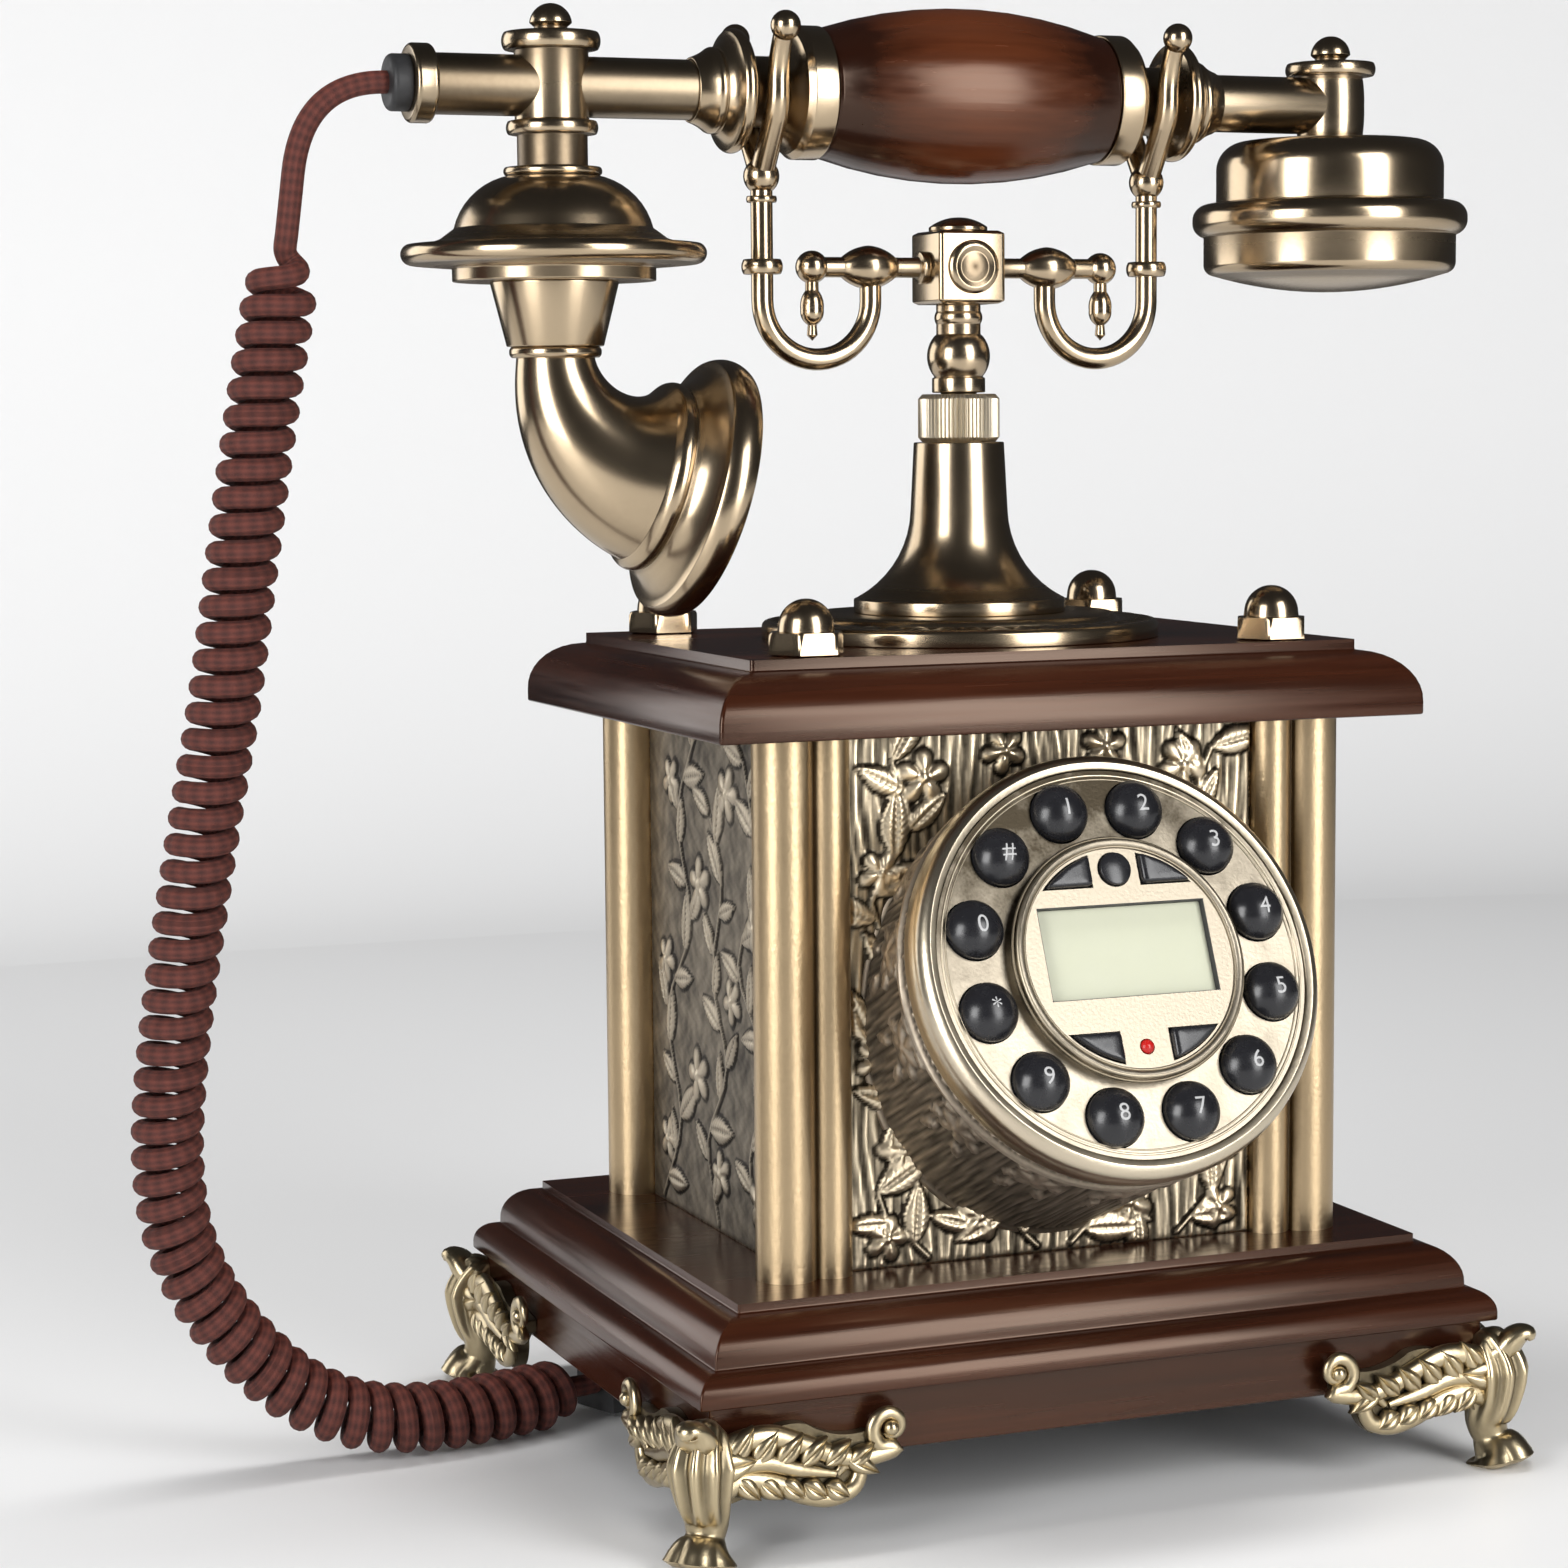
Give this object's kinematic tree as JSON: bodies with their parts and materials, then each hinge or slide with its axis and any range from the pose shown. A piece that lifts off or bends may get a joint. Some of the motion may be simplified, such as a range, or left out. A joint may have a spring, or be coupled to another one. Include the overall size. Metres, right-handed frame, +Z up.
{
  "type": "cradle telephone",
  "caption": "Parlour desk telephone with a moulded wooden box on scrolled feet, tilted push-button dial, brass cradle and a lift-off handset with trumpet mouthpiece and coiled cord.",
  "frame": {"origin": "on the table top, midway between the feet and under the cradle stem", "axes": "+X to the user's right, +Y to the rear, +Z up; the dial faces -Y"},
  "size_m": [0.3159, 0.1874, 0.3228],
  "materials": {
    "walnut": "satin lacquer",
    "antique_brass": "polished with dark patina in the recesses",
    "embossed_brass": "embossed, antiqued",
    "pale_brass": "satin",
    "black_keys": "glossy",
    "display_face": "smooth",
    "red_lens": "glossy",
    "black_rubber": "matt",
    "woven_cord": "woven",
    "dark_plastic": "matt",
    "black_paint": "matt",
    "green_board": "satin",
    "spring_steel": "bright"
  },
  "bodies": {
    "phone_base": {"base_board": "walnut", "top_board": "walnut", "base_feet": "antique_brass", "corner_posts": "antique_brass", "acorn_bolts": "antique_brass", "cradle_plate": "antique_brass", "pedestal": "antique_brass", "knurled_collar": "antique_brass", "front_panel": "embossed_brass", "rear_panel": "embossed_brass", "side_panels": "embossed_brass", "dial_housing": "embossed_brass", "dial_bezel": "pale_brass", "dial_plate": "pale_brass", "display": "display_face", "indicator_led": "red_lens", "cord_gland": "black_rubber", "curly_cord": "woven_cord", "line_jack": "dark_plastic", "ringer": "dark_plastic", "bottom_cover": "black_paint", "circuit_boards": "green_board", "hook_spring": "spring_steel", "hook_switch": "spring_steel"},
    "cradle": {"cradle_stem": "antique_brass", "cradle_block": "antique_brass", "cradle_arms": "antique_brass", "left_hook": "antique_brass", "right_hook": "antique_brass"},
    "handset": {"handset_grip": "walnut", "grip_collars": "antique_brass", "handset_tubes": "antique_brass", "mouth_tee": "antique_brass", "mouth_cap": "antique_brass", "horn": "antique_brass", "horn_bell": "antique_brass", "microphone": "dark_plastic", "ear_tower": "antique_brass", "earpiece_cup": "antique_brass", "earpiece_cap": "antique_brass", "receiver": "dark_plastic", "cord_plug": "black_rubber", "cord_tail": "woven_cord"},
    "key_1": {"key_1": "black_keys"},
    "key_2": {"key_2": "black_keys"},
    "key_3": {"key_3": "black_keys"},
    "key_4": {"key_4": "black_keys"},
    "key_5": {"key_5": "black_keys"},
    "key_6": {"key_6": "black_keys"},
    "key_7": {"key_7": "black_keys"},
    "key_8": {"key_8": "black_keys"},
    "key_9": {"key_9": "black_keys"},
    "key_star": {"key_star": "black_keys"},
    "key_0": {"key_0": "black_keys"},
    "key_hash": {"key_hash": "black_keys"},
    "flash_key": {"flash_key": "black_keys"},
    "redial_key": {"redial_key": "black_keys"},
    "memory_key": {"memory_key": "black_keys"},
    "volume_key": {"volume_key": "black_keys"},
    "set_key": {"set_key": "black_keys"}
  },
  "joints": [
    {"name": "handset_lift", "type": "slide", "parent": "phone_base", "child": "handset", "axis": [0, 0, 1], "range_m": [0, 0.08]},
    {"name": "cradle_rise", "type": "slide", "parent": "phone_base", "child": "cradle", "axis": [0, 0, 1], "range_m": [0, 0.004], "deforming": ["hook_spring"]},
    {"name": "key_1_press", "type": "slide", "parent": "phone_base", "child": "key_1", "axis": [0, 0.9166, -0.3999], "range_m": [0, 0.0015], "stiffness_N_per_m": 300},
    {"name": "key_2_press", "type": "slide", "parent": "phone_base", "child": "key_2", "axis": [0, 0.9166, -0.3999], "range_m": [0, 0.0015], "stiffness_N_per_m": 300},
    {"name": "key_3_press", "type": "slide", "parent": "phone_base", "child": "key_3", "axis": [0, 0.9166, -0.3999], "range_m": [0, 0.0015], "stiffness_N_per_m": 300},
    {"name": "key_4_press", "type": "slide", "parent": "phone_base", "child": "key_4", "axis": [0, 0.9166, -0.3999], "range_m": [0, 0.0015], "stiffness_N_per_m": 300},
    {"name": "key_5_press", "type": "slide", "parent": "phone_base", "child": "key_5", "axis": [0, 0.9166, -0.3999], "range_m": [0, 0.0015], "stiffness_N_per_m": 300},
    {"name": "key_6_press", "type": "slide", "parent": "phone_base", "child": "key_6", "axis": [0, 0.9166, -0.3999], "range_m": [0, 0.0015], "stiffness_N_per_m": 300},
    {"name": "key_7_press", "type": "slide", "parent": "phone_base", "child": "key_7", "axis": [0, 0.9166, -0.3999], "range_m": [0, 0.0015], "stiffness_N_per_m": 300},
    {"name": "key_8_press", "type": "slide", "parent": "phone_base", "child": "key_8", "axis": [0, 0.9166, -0.3999], "range_m": [0, 0.0015], "stiffness_N_per_m": 300},
    {"name": "key_9_press", "type": "slide", "parent": "phone_base", "child": "key_9", "axis": [0, 0.9166, -0.3999], "range_m": [0, 0.0015], "stiffness_N_per_m": 300},
    {"name": "key_star_press", "type": "slide", "parent": "phone_base", "child": "key_star", "axis": [0, 0.9166, -0.3999], "range_m": [0, 0.0015], "stiffness_N_per_m": 300},
    {"name": "key_0_press", "type": "slide", "parent": "phone_base", "child": "key_0", "axis": [0, 0.9166, -0.3999], "range_m": [0, 0.0015], "stiffness_N_per_m": 300},
    {"name": "key_hash_press", "type": "slide", "parent": "phone_base", "child": "key_hash", "axis": [0, 0.9166, -0.3999], "range_m": [0, 0.0015], "stiffness_N_per_m": 300},
    {"name": "flash_key_press", "type": "slide", "parent": "phone_base", "child": "flash_key", "axis": [0, 0.9166, -0.3999], "range_m": [0, 0.0015], "stiffness_N_per_m": 300},
    {"name": "redial_key_press", "type": "slide", "parent": "phone_base", "child": "redial_key", "axis": [0, 0.9166, -0.3999], "range_m": [0, 0.0015], "stiffness_N_per_m": 300},
    {"name": "memory_key_press", "type": "slide", "parent": "phone_base", "child": "memory_key", "axis": [0, 0.9166, -0.3999], "range_m": [0, 0.0015], "stiffness_N_per_m": 300},
    {"name": "volume_key_press", "type": "slide", "parent": "phone_base", "child": "volume_key", "axis": [0, 0.9166, -0.3999], "range_m": [0, 0.0015], "stiffness_N_per_m": 300},
    {"name": "set_key_press", "type": "slide", "parent": "phone_base", "child": "set_key", "axis": [0, 0.9166, -0.3999], "range_m": [0, 0.0015], "stiffness_N_per_m": 300}
  ],
  "couplings": [
    {"joint": "cradle_rise", "follows": "handset_lift", "ratio": 0.05}
  ]
}
